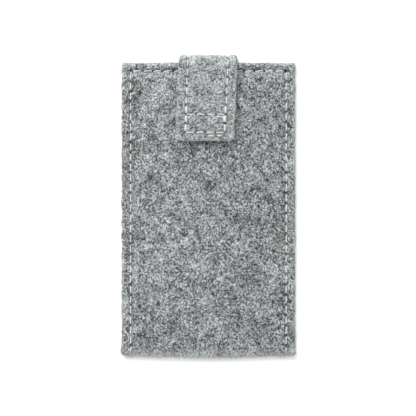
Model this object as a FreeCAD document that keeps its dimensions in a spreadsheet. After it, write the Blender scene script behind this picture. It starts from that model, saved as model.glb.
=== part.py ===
"""Soft felt pouch for glasses: one folded felt sheet, sewn at the sides, with a closing strap.

Frame: millimetres, X across the pouch, +Y towards the mouth, +Z up out of the front face. The pouch lies
on its back, and the origin is the centre of its footprint on the surface. The strap is sewn to the back,
turns over the mouth in two folds and closes on the front with a hook and a loop patch. Each seam is a
lockstitch, so it has a needle thread on the outer face and a bobbin thread on the inner one.
"""

import FreeCAD
import Part
import math
import os
import Sketcher

Vector = FreeCAD.Vector

# Driving dimensions, in mm: alias, value, meaning.
DIMENSIONS = [
    ("pouch_width", 95.0, "width over both side flanges"),
    ("pouch_length", 160.0, "bottom fold to mouth"),
    ("felt", 2.0, "thickness of the felt sheet"),
    ("corner", 1.5, "corner radius of the flat outline"),
    ("seam_inset", 4.9, "side edge to side seam"),
    ("seam_grip", 0.6, "side seam to the hollow"),
    ("mouth_inset", 4.3, "mouth edge to mouth seam"),
    ("gap_bottom", 0.7, "height inside the pouch at the bottom fold"),
    ("gap_belly", 8.6, "height inside over the belly"),
    ("gap_mouth", 7.5, "height inside at the mouth"),
    ("belly_start", 42.0, "bottom fold to the start of the belly"),
    ("belly_end", 38.0, "mouth to the end of the belly"),
    ("strap_width", 32.0, "width of the closing strap"),
    ("strap_inset", 5.0, "strap edge to strap seam"),
    ("tab_reach", 42.7, "mouth to the free end of the strap, on the front"),
    ("anchor_reach", 40.0, "mouth to the sewn end of the strap, on the back"),
    ("arch_rise", 4.2, "how far the strap stands beyond the mouth"),
    ("fold_turn", 12.0, "part of each bend left free at the fold, in degrees"),
    ("tab_lift", 0.5, "clearance under the strap at the mouth"),
    ("bend_radius", 30.0, "radius of the bend where the tab levels out"),
    ("recess_ramp", 5.0, "width of the slope beside the strap anchor"),
    ("recess_play", 0.5, "play around the strap anchor"),
    ("patch_width", 25.0, "width of the hook and loop patches"),
    ("patch_length", 13.0, "length of the hook and loop patches"),
    ("patch_thick", 0.8, "thickness of each patch"),
    ("patch_gap", 0.2, "between the hook and the loop patch, closed"),
    ("patch_bed", 0.15, "how deep the loop patch is drawn into the felt"),
    ("end_inset", 4.7, "strap end to its cross seam"),
    ("box_length", 9.8, "length of the box seam at each strap end"),
    ("thread", 0.7, "thread diameter"),
    ("pitch", 5.57, "stitch pitch of the pouch seams"),
    ("strap_pitch", 5.2, "stitch pitch of the strap seams"),
    ("stitch", 4.0, "visible length of one stitch"),
    ("proud", 0.25, "how far a needle stitch stands out of the felt"),
]

# Where the stitch on each bend of the strap starts and ends, in degrees from the ends of a quarter turn.
BEND_STITCH = 27

# The heights between which a vertical line is sure to cross the whole pouch, in mm.
PROBE_LOW, PROBE_HIGH = -5, 40

# Places along Y and Z that several sub-parts share, as expressions on the sheet.
TOTAL = "(Sizes.pouch_length + Sizes.arch_rise)"
BOTTOM_Y = f"(-{TOTAL} / 2)"
MOUTH_Y = f"({BOTTOM_Y} + Sizes.pouch_length)"
TAB_END_Y = f"({MOUTH_Y} - Sizes.tab_reach)"
ANCHOR_END_Y = f"({MOUTH_Y} - Sizes.anchor_reach)"
SEAM_X = "(Sizes.pouch_width / 2 - Sizes.seam_inset)"
HOLLOW_X = "(Sizes.pouch_width / 2 - Sizes.seam_inset - Sizes.seam_grip)"
FOLD_RADIUS = "(Sizes.arch_rise - Sizes.felt / 2)"
FRONT_Z = "(2 * Sizes.felt + Sizes.gap_belly)"
TAB_Z = f"({FRONT_Z} + 2 * Sizes.patch_thick + Sizes.patch_gap - Sizes.patch_bed + Sizes.felt / 2)"
TAB_MOUTH_Z = "(2.5 * Sizes.felt + Sizes.gap_mouth + Sizes.tab_lift)"
PATCH_Y = f"({TAB_END_Y} + Sizes.end_inset + Sizes.box_length / 2)"


# ---------------------------------------------------------------- document helpers


def make_sheet(doc):
    """The spreadsheet that drives every size."""
    sheet = doc.addObject("Spreadsheet::Sheet", "Sizes")
    for row, (alias, value, meaning) in enumerate(DIMENSIONS, start=1):
        sheet.set(f"A{row}", alias)
        sheet.set(f"B{row}", str(value))
        sheet.set(f"C{row}", meaning)
        sheet.setAlias(f"B{row}", alias)
    doc.recompute()
    return sheet


def value_of(owner, expression):
    """The number that an expression stands for, in the document of this object."""
    return float(owner.Document.Sizes.evalExpression(expression))


def new_body(doc, label):
    body = doc.addObject("PartDesign::Body", label)
    body.Label = label
    return body


def new_sketch(body, name, role, offset=None):
    """A sketch on one of the body's origin planes, moved along the plane's normal by an expression."""
    sketch = body.newObject("Sketcher::SketchObject", name)
    plane = next(f for f in body.Origin.OriginFeatures if f.Role == role)
    sketch.AttachmentSupport = [(plane, "")]
    sketch.MapMode = "FlatFace"
    if offset:
        sketch.setExpression(".AttachmentOffset.Base.z", offset)
    return sketch


def bind(sketch, kind, name, expression, *elements):
    """Adds a dimensional constraint at its present value and binds it to the sheet."""
    index = sketch.addConstraint(Sketcher.Constraint(kind, *elements, value_of(sketch, expression)))
    sketch.renameConstraint(index, name)
    sketch.setExpression(f"Constraints.{name}", expression)


def line(sketch, start, end):
    return sketch.addGeometry(Part.LineSegment(Vector(*start, 0), Vector(*end, 0)))


def join(sketch, *pairs):
    """Joins the end of each first element to the start of the second."""
    for first, second in pairs:
        sketch.addConstraint(Sketcher.Constraint("Coincident", first, 2, second, 1))


def place_x(sketch, geometry, point, name, expression):
    bind(sketch, "DistanceX", name, expression, -1, 1, geometry, point)


def place_y(sketch, geometry, point, name, expression):
    bind(sketch, "DistanceY", name, expression, -1, 1, geometry, point)


def rectangle(sketch, low_x, high_x, low_y, high_y):
    """A rectangle with its four sides bound to expressions."""
    x0, x1, y0, y1 = (value_of(sketch, e) for e in (low_x, high_x, low_y, high_y))
    corners = [(x0, y0), (x1, y0), (x1, y1), (x0, y1)]
    sides = [line(sketch, corners[i], corners[(i + 1) % 4]) for i in range(4)]
    join(sketch, *[(sides[i], sides[(i + 1) % 4]) for i in range(4)])
    for i, direction in enumerate(("Horizontal", "Vertical", "Horizontal", "Vertical")):
        sketch.addConstraint(Sketcher.Constraint(direction, sides[i]))
    place_x(sketch, sides[0], 1, "low_x", low_x)
    place_x(sketch, sides[2], 1, "high_x", high_x)
    place_y(sketch, sides[0], 1, "low_y", low_y)
    place_y(sketch, sides[2], 1, "high_y", high_y)


def loft(body, kind, name, sketches, ruled=False):
    feature = body.newObject(f"PartDesign::{kind}Loft", name)
    feature.Profile = sketches[0]
    feature.Sections = sketches[1:]
    feature.Ruled = ruled
    return feature


# ---------------------------------------------------------------- pouch


def pouch_stations():
    """Where the height inside the pouch is set: place along Y and height, both as expressions."""
    fold, full = f"({BOTTOM_Y} + Sizes.felt)", "Sizes.gap_belly"
    belly = "(Sizes.pouch_length - Sizes.belly_start - Sizes.belly_end)"
    stations = []
    for step in range(5):
        part = f"{step} / 5"
        y = f"{fold} + (Sizes.belly_start - Sizes.felt) * {part}"
        stations.append((y, f"Sizes.gap_bottom + ({full} - Sizes.gap_bottom) * sin(90 * {part})"))
    for step in range(4):
        stations.append((f"{BOTTOM_Y} + Sizes.belly_start + {belly} * {step} / 3", full))
    for step in range(1, 4):
        part = f"{step} / 3"
        y = f"{MOUTH_Y} - Sizes.belly_end * (1 - {part})"
        stations.append((y, f"{full} - ({full} - Sizes.gap_mouth) * (1 - cos(90 * {part}))"))
    return stations


def segment_sketch(body, name, station, base, height):
    """A segment of a circle across the pouch at Y = station: a chord at Z = base under an arc."""
    sketch = new_sketch(body, name, "XZ_Plane", f"-({station})")
    bend = f"({HOLLOW_X} ^ 2 + ({height}) ^ 2) / (2 * ({height}))"
    half, rise, level, radius = (value_of(sketch, e) for e in (HOLLOW_X, height, base, bend))
    spread = math.asin(half / radius)
    circle = Part.Circle(Vector(0, level + rise - radius, 0), Vector(0, 0, 1), radius)
    arc = sketch.addGeometry(Part.ArcOfCircle(circle, math.pi / 2 - spread, math.pi / 2 + spread))
    chord = line(sketch, (-half, level), (half, level))
    join(sketch, (arc, chord), (chord, arc))
    sketch.addConstraint(Sketcher.Constraint("Symmetric", chord, 1, chord, 2, -2))
    bind(sketch, "DistanceX", "chord", f"2 * {HOLLOW_X}", chord, 1, chord, 2)
    place_y(sketch, chord, 1, "base", base)
    bind(sketch, "Radius", "bend", bend, arc)
    return sketch


def sheet_stack(body):
    """The sheet folded flat on itself: two layers, round at the bottom fold."""
    sketch = new_sketch(body, "StackProfile", "YZ_Plane")
    felt, mouth, bottom = (value_of(sketch, e) for e in ("Sizes.felt", MOUTH_Y, BOTTOM_Y))
    fold = bottom + felt
    under = line(sketch, (fold, 0), (mouth, 0))
    edge = line(sketch, (mouth, 0), (mouth, 2 * felt))
    over = line(sketch, (mouth, 2 * felt), (fold, 2 * felt))
    circle = Part.Circle(Vector(fold, felt, 0), Vector(0, 0, 1), felt)
    bend = sketch.addGeometry(Part.ArcOfCircle(circle, math.pi / 2, 3 * math.pi / 2))
    join(sketch, (under, edge), (edge, over))
    for side, direction in ((under, "Horizontal"), (edge, "Vertical"), (over, "Horizontal")):
        sketch.addConstraint(Sketcher.Constraint(direction, side))
    sketch.addConstraint(Sketcher.Constraint("Tangent", over, 2, bend, 1))
    sketch.addConstraint(Sketcher.Constraint("Tangent", bend, 2, under, 1))
    sketch.addConstraint(Sketcher.Constraint("PointOnObject", under, 1, -1))
    place_x(sketch, edge, 1, "mouth", MOUTH_Y)
    place_x(sketch, under, 1, "fold", f"{BOTTOM_Y} + Sizes.felt")
    bind(sketch, "Radius", "bend", "Sizes.felt", bend)
    pad = body.newObject("PartDesign::Pad", "Stack")
    pad.Profile = sketch
    pad.SideType = "Symmetric"
    pad.setExpression("Length", "Sizes.pouch_width")


def round_corners(body):
    """Rounds the four corners of the outline."""
    sketch = new_sketch(body, "CornerProfile", "XY_Plane")
    radius = value_of(sketch, "Sizes.corner")
    for x_name, x_sign in (("left", -1), ("right", 1)):
        for y_name, y_sign, edge in (("bottom", -1, BOTTOM_Y), ("mouth", 1, MOUTH_Y)):
            side = f"{x_sign} * Sizes.pouch_width / 2"
            x, y = value_of(sketch, side), value_of(sketch, edge)
            centre = Vector(x - x_sign * radius, y - y_sign * radius, 0)
            start = math.atan2(y_sign, x_sign) - math.pi / 4
            circle = Part.Circle(centre, Vector(0, 0, 1), radius)
            arc = sketch.addGeometry(Part.ArcOfCircle(circle, start, start + math.pi / 2))
            across = line(sketch, (x, y), (centre.x, y))
            along = line(sketch, (x, y), (x, centre.y))
            along_end, across_end = (1, 2) if x_sign == y_sign else (2, 1)
            sketch.addConstraint(Sketcher.Constraint("Coincident", across, 1, along, 1))
            sketch.addConstraint(Sketcher.Constraint("Horizontal", across))
            sketch.addConstraint(Sketcher.Constraint("Vertical", along))
            sketch.addConstraint(Sketcher.Constraint("Tangent", arc, across_end, across, 2))
            sketch.addConstraint(Sketcher.Constraint("Tangent", arc, along_end, along, 2))
            bind(sketch, "Radius", f"{x_name}_{y_name}_corner", "Sizes.corner", arc)
            place_x(sketch, across, 1, f"{x_name}_{y_name}_x", side)
            place_y(sketch, across, 1, f"{x_name}_{y_name}_y", edge)
    pocket = body.newObject("PartDesign::Pocket", "Corners")
    pocket.Profile = sketch
    pocket.Reversed = True
    pocket.setExpression("Length", "3 * Sizes.felt")


def ramped_block(body, kind, name, low_z, spread):
    """A block over the strap anchor, one felt thick, with sloping flanks."""
    sketches = []
    levels = ((low_z, "Sizes.recess_ramp"), (f"{low_z} + Sizes.felt", "0"))
    for level, (height, slope) in enumerate(levels):
        sketch = new_sketch(body, f"{name}{level}", "XY_Plane", height)
        margin = f"({spread} + {slope})"
        half = f"(Sizes.strap_width / 2 + {margin})"
        rectangle(sketch, f"-{half}", half, f"{ANCHOR_END_Y} - {margin}", MOUTH_Y)
        sketches.append(sketch)
    loft(body, kind, name, sketches, ruled=True)


def make_pouch(doc):
    """The felt body: folded sheet, domed front, hollow inside, and the dent that the strap anchor lies in."""
    body = new_body(doc, "pouch_body")
    sheet_stack(body)
    round_corners(body)
    stations = pouch_stations()
    domes = (("Additive", "Dome", "2 * Sizes.felt"), ("Subtractive", "Hollow", "Sizes.felt"))
    for kind, name, base in domes:
        sections = [segment_sketch(body, f"{name}{i}", y, base, gap) for i, (y, gap) in enumerate(stations)]
        loft(body, kind, name, sections)
    ramped_block(body, "Additive", "AnchorRise", "Sizes.felt", "(Sizes.recess_play + Sizes.felt / 2)")
    ramped_block(body, "Subtractive", "AnchorDent", "0", "Sizes.recess_play")
    doc.recompute()
    return body


# ---------------------------------------------------------------- strap


def strap_pipe(body, path, station, level, turn=None):
    """Sweeps the strap's cross-section along a path that starts at Y = station and Z = level."""
    section = new_sketch(body, "Section", "XZ_Plane")
    if turn:
        tilt = FreeCAD.Rotation(Vector(1, 0, 0), value_of(body, turn))
        section.AttachmentOffset = FreeCAD.Placement(Vector(), tilt)
        section.setExpression(".AttachmentOffset.Rotation.Angle", turn)
    section.setExpression(".AttachmentOffset.Base.y", level)
    section.setExpression(".AttachmentOffset.Base.z", f"-({station})")
    rectangle(section, "-Sizes.strap_width / 2", "Sizes.strap_width / 2", "-Sizes.felt / 2", "Sizes.felt / 2")
    pipe = body.newObject("PartDesign::AdditivePipe", "Strap")
    pipe.Profile = section
    pipe.Spine = path


def make_anchor(doc):
    """The strap's flat end, sewn to the back of the pouch."""
    body = new_body(doc, "strap_anchor")
    sketch = new_sketch(body, "Outline", "XY_Plane")
    rectangle(sketch, "-Sizes.strap_width / 2", "Sizes.strap_width / 2", ANCHOR_END_Y, MOUTH_Y)
    pad = body.newObject("PartDesign::Pad", "Strap")
    pad.Profile = sketch
    pad.setExpression("Length", "Sizes.felt")
    return body


def make_bridge(doc):
    """The strap where it crosses the mouth: a bend, a short riser and a second bend."""
    body = new_body(doc, "strap_bridge")
    path = new_sketch(body, "Path", "YZ_Plane")
    low_centre, high_centre = f"(Sizes.felt / 2 + {FOLD_RADIUS})", f"({TAB_MOUTH_Z} - {FOLD_RADIUS})"
    mouth, radius, low, high = (value_of(path, e) for e in (MOUTH_Y, FOLD_RADIUS, low_centre, high_centre))
    turn = math.radians(value_of(path, "Sizes.fold_turn"))
    circle = Part.Circle(Vector(mouth, low, 0), Vector(0, 0, 1), radius)
    back = path.addGeometry(Part.ArcOfCircle(circle, turn - math.pi / 2, 0))
    riser = line(path, (mouth + radius, low), (mouth + radius, high))
    circle = Part.Circle(Vector(mouth, high, 0), Vector(0, 0, 1), radius)
    front = path.addGeometry(Part.ArcOfCircle(circle, 0, math.pi / 2 - turn))
    join(path, (back, riser), (riser, front))
    path.addConstraint(Sketcher.Constraint("Vertical", riser))
    bends = ((back, "back", low_centre, 2, 1), (front, "front", high_centre, 1, 2))
    for bend, name, centre, joint, free in bends:
        place_x(path, bend, 3, f"{name}_mouth", MOUTH_Y)
        place_y(path, bend, 3, f"{name}_centre", centre)
        path.addConstraint(Sketcher.Constraint("Horizontal", bend, 3, bend, joint))
        place_x(path, bend, free, f"{name}_free", f"{MOUTH_Y} + {FOLD_RADIUS} * sin(Sizes.fold_turn)")
    bind(path, "Radius", "bend", FOLD_RADIUS, back)
    station = f"{MOUTH_Y} + {FOLD_RADIUS} * sin(Sizes.fold_turn)"
    level = f"{low_centre} - {FOLD_RADIUS} * cos(Sizes.fold_turn)"
    strap_pipe(body, path, station, level, "Sizes.fold_turn")
    return body


def make_tab(doc):
    """The strap's free end on the front: level over the patches, then sloping down to the mouth."""
    body = new_body(doc, "strap_tab")
    path = new_sketch(body, "Path", "YZ_Plane")
    level_end = f"({PATCH_Y} + Sizes.patch_length / 2)"
    names = (TAB_END_Y, level_end, MOUTH_Y, TAB_Z, TAB_MOUTH_Z, "Sizes.bend_radius")
    start, corner, stop, high, low, radius = (value_of(path, e) for e in names)
    slope = math.atan2(high - low, stop - corner)
    circle = Part.Circle(Vector(corner, high - radius, 0), Vector(0, 0, 1), radius)
    level = line(path, (start, high), (corner, high))
    bend = path.addGeometry(Part.ArcOfCircle(circle, math.pi / 2 - slope, math.pi / 2))
    turned = (corner + radius * math.sin(slope), high - radius + radius * math.cos(slope))
    fall = line(path, turned, (stop, low))
    path.addConstraint(Sketcher.Constraint("Horizontal", level))
    path.addConstraint(Sketcher.Constraint("Tangent", level, 2, bend, 2))
    path.addConstraint(Sketcher.Constraint("Tangent", bend, 1, fall, 1))
    place_x(path, level, 1, "start", TAB_END_Y)
    place_y(path, level, 1, "height", TAB_Z)
    place_x(path, level, 2, "level_end", level_end)
    place_x(path, fall, 2, "stop", MOUTH_Y)
    place_y(path, fall, 2, "low", TAB_MOUTH_Z)
    bind(path, "Radius", "bend", "Sizes.bend_radius", bend)
    strap_pipe(body, path, TAB_END_Y, TAB_Z)
    return body


# ---------------------------------------------------------------- hook and loop patches


def make_hook_patch(doc):
    """The hook patch under the tab."""
    body = new_body(doc, "hook_patch")
    sketch = new_sketch(body, "Outline", "XY_Plane", f"{TAB_Z} - Sizes.felt / 2 - Sizes.patch_thick")
    sides = ("-Sizes.patch_width / 2", "Sizes.patch_width / 2")
    rectangle(sketch, *sides, f"{PATCH_Y} - Sizes.patch_length / 2", f"{PATCH_Y} + Sizes.patch_length / 2")
    pad = body.newObject("PartDesign::Pad", "Tape")
    pad.Profile = sketch
    pad.setExpression("Length", "Sizes.patch_thick")
    return body


def make_loop_patch(doc):
    """The loop patch on the front of the pouch: a slice of a tube that follows the dome of the felt."""
    front = f"({HOLLOW_X} ^ 2 + Sizes.gap_belly ^ 2) / (2 * Sizes.gap_belly)"
    cylinders = []
    faces = (("LoopOuter", "Sizes.patch_thick - Sizes.patch_bed"), ("LoopInner", "-Sizes.patch_bed"))
    for name, extra in faces:
        cylinder = doc.addObject("Part::Cylinder", name)
        cylinder.Placement = FreeCAD.Placement(Vector(), FreeCAD.Rotation(Vector(1, 0, 0), -90))
        cylinder.setExpression("Radius", f"{front} + {extra}")
        cylinder.setExpression("Height", "Sizes.patch_length")
        cylinder.setExpression(".Placement.Base.y", f"{PATCH_Y} - Sizes.patch_length / 2")
        cylinder.setExpression(".Placement.Base.z", f"{FRONT_Z} - {front}")
        cylinders.append(cylinder)
    tube = doc.addObject("Part::Cut", "LoopTube")
    tube.Base, tube.Tool = cylinders
    blank = doc.addObject("Part::Box", "LoopBlank")
    blank.setExpression("Length", "Sizes.patch_width")
    blank.setExpression("Width", "Sizes.patch_length")
    blank.setExpression("Height", "3 * Sizes.felt")
    blank.setExpression(".Placement.Base.x", "-Sizes.patch_width / 2")
    blank.setExpression(".Placement.Base.y", f"{PATCH_Y} - Sizes.patch_length / 2")
    blank.setExpression(".Placement.Base.z", f"{FRONT_Z} - Sizes.felt")
    patch = doc.addObject("Part::Common", "loop_patch")
    patch.Base, patch.Tool = tube, blank
    patch.Label = "loop_patch"
    return patch


# ---------------------------------------------------------------- seams


def stitch_solid(start, end, radius):
    """One stitch: a round bar with round ends from start to end."""
    length = (end - start).Length
    bottom, top = Vector(0, 0, -radius), Vector(0, 0, length + radius)
    side_low, side_high = Vector(radius, 0, 0), Vector(radius, 0, length)
    slant = radius * math.sqrt(0.5)
    outline = Part.Wire(
        [
            Part.Arc(bottom, Vector(slant, 0, -slant), side_low).toShape(),
            Part.LineSegment(side_low, side_high).toShape(),
            Part.Arc(side_high, Vector(slant, 0, length + slant), top).toShape(),
            Part.LineSegment(top, bottom).toShape(),
        ]
    )
    bar = Part.Face(outline).revolve(Vector(), Vector(0, 0, 1), 360)
    bar.Placement = FreeCAD.Placement(start, FreeCAD.Rotation(Vector(0, 0, 1), end - start))
    return bar


def run(start, end, pitch, length):
    """The two ends of each stitch on a straight run between two points, evenly spread."""
    along = end - start
    count = max(1, round(along.Length / pitch))
    step = along / count
    lead = step.normalize() * (along.Length / count - length) / 2
    step = along / count
    return [(start + step * i + lead, start + step * (i + 1) - lead) for i in range(count)]


def crossings(shape, x, y):
    """Heights at which the vertical line through (x, y) crosses the surface of a shape, lowest first."""
    probe = Part.makeLine(Vector(x, y, PROBE_LOW), Vector(x, y, PROBE_HIGH))
    return sorted(vertex.Z for vertex in shape.common(probe).Vertexes)


def sunk_point(solid, point, face, depth):
    """A point moved vertically onto a face of a solid, then inwards by depth."""
    heights = crossings(solid, point.x, point.y)
    index = face % len(heights)
    inwards = 1 if index % 2 == 0 else -1
    return Vector(point.x, point.y, heights[index] + inwards * depth)


def sunk(solid, stitches, face, depth):
    """Lays stitches on a face of a solid, counted upwards from 0 or downwards from -1."""
    return [tuple(sunk_point(solid, point, face, depth) for point in ends) for ends in stitches]


def make_seam(doc, label, stitches, radius):
    """A seam's visible stitches on one side, as one node of separate solids."""
    seam = doc.addObject("Part::Feature", label)
    seam.Shape = Part.makeCompound([stitch_solid(a, b, radius) for a, b in stitches])
    seam.Label = label
    return seam


class Seams:
    """Makes the seams, with the sizes they share."""

    def __init__(self, doc):
        def size(expression):
            return float(doc.Sizes.evalExpression(expression))

        self.doc = doc
        self.radius = size("Sizes.thread / 2")
        self.flush = self.radius
        self.shallow = self.radius - size("Sizes.proud")
        self.pitch, self.strap_pitch = size("Sizes.pitch"), size("Sizes.strap_pitch")
        self.stitch = size("Sizes.stitch") - 2 * self.radius
        self.felt = size("Sizes.felt")
        self.bottom, self.mouth = size(BOTTOM_Y), size(MOUTH_Y)
        self.mouth_seam = self.mouth - size("Sizes.mouth_inset")
        self.side_x = size(SEAM_X)
        self.strap_x = size("Sizes.strap_width / 2 - Sizes.strap_inset")
        self.tab_end, self.anchor_end = size(TAB_END_Y), size(ANCHOR_END_Y)
        self.end_inset, self.box = size("Sizes.end_inset"), size("Sizes.box_length")
        self.patch_y, self.patch_length = size(PATCH_Y), size("Sizes.patch_length")
        self.patch_width = size("Sizes.patch_width")
        self.fold_radius = size(FOLD_RADIUS)
        self.bridge_low = size(f"Sizes.felt / 2 + {FOLD_RADIUS}")
        self.bridge_high = size(f"{TAB_MOUTH_Z} - {FOLD_RADIUS}")
        self.made = []

    def add(self, label, stitches):
        self.made.append(make_seam(self.doc, label, stitches, self.radius))

    def flat_run(self, x0, y0, x1, y1, pitch):
        return run(Vector(x0, y0, 0), Vector(x1, y1, 0), pitch, self.stitch)

    def pouch_seams(self, pouch):
        """Side seams through both layers, and a hem seam along each edge of the mouth."""
        for side, sign in (("left", -1), ("right", 1)):
            x = sign * self.side_x
            stitches = self.flat_run(x, self.bottom + self.felt, x, self.mouth_seam, self.pitch)
            self.add(f"{side}_side_needle_thread", sunk(pouch, stitches, -1, self.shallow))
            self.add(f"{side}_side_bobbin_thread", sunk(pouch, stitches, 0, self.flush))
        inner_x = self.side_x - 2 * self.radius
        hem = self.flat_run(-inner_x, self.mouth_seam, inner_x, self.mouth_seam, self.pitch)
        self.add("front_mouth_needle_thread", sunk(pouch, hem, -1, self.shallow))
        self.add("front_mouth_bobbin_thread", sunk(pouch, hem[1:-1], -2, self.flush))
        self.add("back_mouth_needle_thread", sunk(pouch, hem, 0, self.flush))
        self.add("back_mouth_bobbin_thread", sunk(pouch, hem[1:-1], 1, self.flush))

    def box_seam(self, near, far, half):
        """A closed rectangle of stitches between two places along Y, kept apart at the corners."""
        corner = 2 * self.radius
        sides = [self.flat_run(s * half, near, s * half, far, self.strap_pitch) for s in (-1, 1)]
        ends = [self.flat_run(corner - half, y, half - corner, y, self.strap_pitch) for y in (near, far)]
        return sum(sides + ends, [])

    def edge_seam(self, start):
        """The stitches along both edges of the strap, from Y = start to the mouth."""
        places = [-self.strap_x, self.strap_x]
        return sum([self.flat_run(x, start, x, self.mouth, self.strap_pitch) for x in places], [])

    def tab_seams(self, pouch, tab, hook, loop):
        """The tab's edge seam, the box seam of the hook patch and the box seam of the loop patch."""
        near = self.tab_end + self.end_inset
        edge = self.edge_seam(near + self.box)
        self.add("tab_edge_needle_thread", sunk(tab, edge, -1, self.shallow))
        self.add("tab_edge_bobbin_thread", sunk(tab, edge, 0, self.flush))
        box = self.box_seam(near, near + self.box, self.strap_x)
        self.add("hook_patch_needle_thread", sunk(tab, box, -1, self.shallow))
        self.add("hook_patch_bobbin_thread", sunk(hook, box, 0, self.flush))
        margin = self.patch_length / 2 - self.box / 2
        near, far = self.patch_y - self.box / 2, self.patch_y + self.box / 2
        box = self.box_seam(near, far, self.patch_width / 2 - margin)
        self.add("loop_patch_needle_thread", sunk(loop, box, -1, self.flush))
        self.add("loop_patch_bobbin_thread", sunk(pouch, box, -2, self.flush))

    def anchor_seams(self, pouch, anchor):
        """The box seam that sews the strap to the back of the pouch, and the edge seam beyond it."""
        near, far = self.anchor_end + self.end_inset, self.mouth_seam - 3 * self.radius
        box = self.box_seam(near, far, self.strap_x)
        self.add("anchor_box_needle_thread", sunk(anchor, box, 0, self.flush))
        self.add("anchor_box_bobbin_thread", sunk(pouch, box, 1, self.flush))
        edge = self.edge_seam(far)
        self.add("anchor_edge_needle_thread", sunk(anchor, edge, 0, self.flush))
        self.add("anchor_edge_bobbin_thread", sunk(anchor, edge, -1, self.flush))

    def bridge_seams(self):
        """The edge seam over the two bends: one stitch on each bend and one on the riser."""
        turn = math.radians(BEND_STITCH)
        low, high = self.bridge_low, self.bridge_high
        faces = (("needle", self.felt / 2 - self.shallow), ("bobbin", self.flush - self.felt / 2))
        for label, offset in faces:
            reach = self.fold_radius + offset
            near, far = reach * math.sin(turn), reach * math.cos(turn)
            points = [
                ((near, low - far), (far, low - near)),
                ((reach, low + self.radius), (reach, high - self.radius)),
                ((far, high + near), (near, high + far)),
            ]
            stitches = [
                tuple(Vector(s * self.strap_x, self.mouth + y, z) for y, z in ends)
                for s in (-1, 1)
                for ends in points
            ]
            self.add(f"bridge_edge_{label}_thread", stitches)


# ---------------------------------------------------------------- build


def check_and_export(doc, parts):
    """Stops on any failed object or bad shape, then writes one STEP file for each sub-part."""
    failed = [o.Label for o in doc.Objects if {"Invalid", "Error"} & set(o.State)]
    if failed:
        raise RuntimeError(f"failed objects: {failed}")
    os.makedirs("parts", exist_ok=True)
    for part in parts:
        shape = part.Shape
        if shape.isNull() or not shape.isValid() or not shape.Solids:
            raise RuntimeError(f"{part.Label} has no valid solid")
        shape.exportStep(f"parts/{part.Label}.step")
        box = shape.BoundBox
        low, high = (box.XMin, box.YMin, box.ZMin), (box.XMax, box.YMax, box.ZMax)
        spans = ", ".join(f"{a:.2f} to {b:.2f}" for a, b in zip(low, high))
        print(f"{part.Label}: {len(shape.Solids)} solids, {shape.Volume:.1f} cubic mm, {spans}")


def main():
    doc = FreeCAD.newDocument("felt_pouch")
    make_sheet(doc)
    pouch = make_pouch(doc)
    anchor, bridge, tab = make_anchor(doc), make_bridge(doc), make_tab(doc)
    hook, loop = make_hook_patch(doc), make_loop_patch(doc)
    doc.recompute()
    seams = Seams(doc)
    seams.pouch_seams(pouch.Shape)
    seams.anchor_seams(pouch.Shape, anchor.Shape)
    seams.bridge_seams()
    seams.tab_seams(pouch.Shape, tab.Shape, hook.Shape, loop.Shape)
    doc.recompute()
    check_and_export(doc, [pouch, anchor, bridge, tab, hook, loop, *seams.made])


main()
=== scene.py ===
"""The looks of a felt pouch for glasses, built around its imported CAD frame.

Shapes are worked out in millimetres in the row frame: X across the pouch, Y from the folded bottom to
the mouth, Z up from the surface that the pouch lies on. Each felt part is a flat sheet with its own flat
coordinates, x across and s along, and a function that lays it in space. Seams are straight runs on those
flat sheets, so one run gives the valley, the needle holes and the thread of a seam.
"""

import math
import random
from dataclasses import dataclass

import bmesh
import bpy
import numpy as np
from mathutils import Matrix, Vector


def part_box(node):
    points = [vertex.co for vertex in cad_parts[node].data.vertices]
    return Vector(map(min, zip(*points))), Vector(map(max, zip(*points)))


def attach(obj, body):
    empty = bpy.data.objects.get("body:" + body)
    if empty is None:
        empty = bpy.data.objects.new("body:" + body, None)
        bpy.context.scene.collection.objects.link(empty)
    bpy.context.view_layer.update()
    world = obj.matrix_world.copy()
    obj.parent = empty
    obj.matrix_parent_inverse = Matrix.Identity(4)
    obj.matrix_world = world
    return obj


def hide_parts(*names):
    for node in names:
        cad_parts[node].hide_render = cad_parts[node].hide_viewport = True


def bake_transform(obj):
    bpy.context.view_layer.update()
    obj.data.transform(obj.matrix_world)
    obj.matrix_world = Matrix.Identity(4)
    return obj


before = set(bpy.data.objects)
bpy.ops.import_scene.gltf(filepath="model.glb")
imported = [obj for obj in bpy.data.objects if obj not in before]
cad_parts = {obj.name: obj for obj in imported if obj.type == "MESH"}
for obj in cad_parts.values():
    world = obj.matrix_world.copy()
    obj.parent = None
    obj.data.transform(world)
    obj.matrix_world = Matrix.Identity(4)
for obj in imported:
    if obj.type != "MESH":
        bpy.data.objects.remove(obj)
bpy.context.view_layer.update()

MM = 0.001


def node_box(name):
    """The lowest and highest corners of a CAD node, in millimetres."""
    low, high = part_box(name)
    return np.array(low) / MM, np.array(high) / MM


# -------- sizes, in mm

POUCH_LOW, POUCH_HIGH = node_box("pouch_body")
ANCHOR_LOW, ANCHOR_HIGH = node_box("strap_anchor")
BRIDGE_LOW, BRIDGE_HIGH = node_box("strap_bridge")
TAB_LOW, TAB_HIGH = node_box("strap_tab")
HOOK_LOW, HOOK_HIGH = node_box("hook_patch")
LOOP_LOW, LOOP_HIGH = node_box("loop_patch")

FELT = ANCHOR_HIGH[2] - ANCHOR_LOW[2]
HALF_WIDTH = POUCH_HIGH[0]
MOUTH = POUCH_HIGH[1]
FOLD = POUCH_LOW[1] + FELT
BELLY_GAP = POUCH_HIGH[2] - 2 * FELT
SEAM_X = HALF_WIDTH - 4.9
SEAM_Y = MOUTH - 4.3
HOLLOW_X = SEAM_X - 0.6
MOUTH_SEAM_X = SEAM_X - 0.7
BOTTOM_GAP = 0.7
MOUTH_GAP = BELLY_GAP - 1.1
BELLY_START = 42.0
BELLY_END = 38.0
DOME_POWER = 1.3
LAYER_GAP = 0.06
POUCH_INNER = FELT - LAYER_GAP

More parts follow.
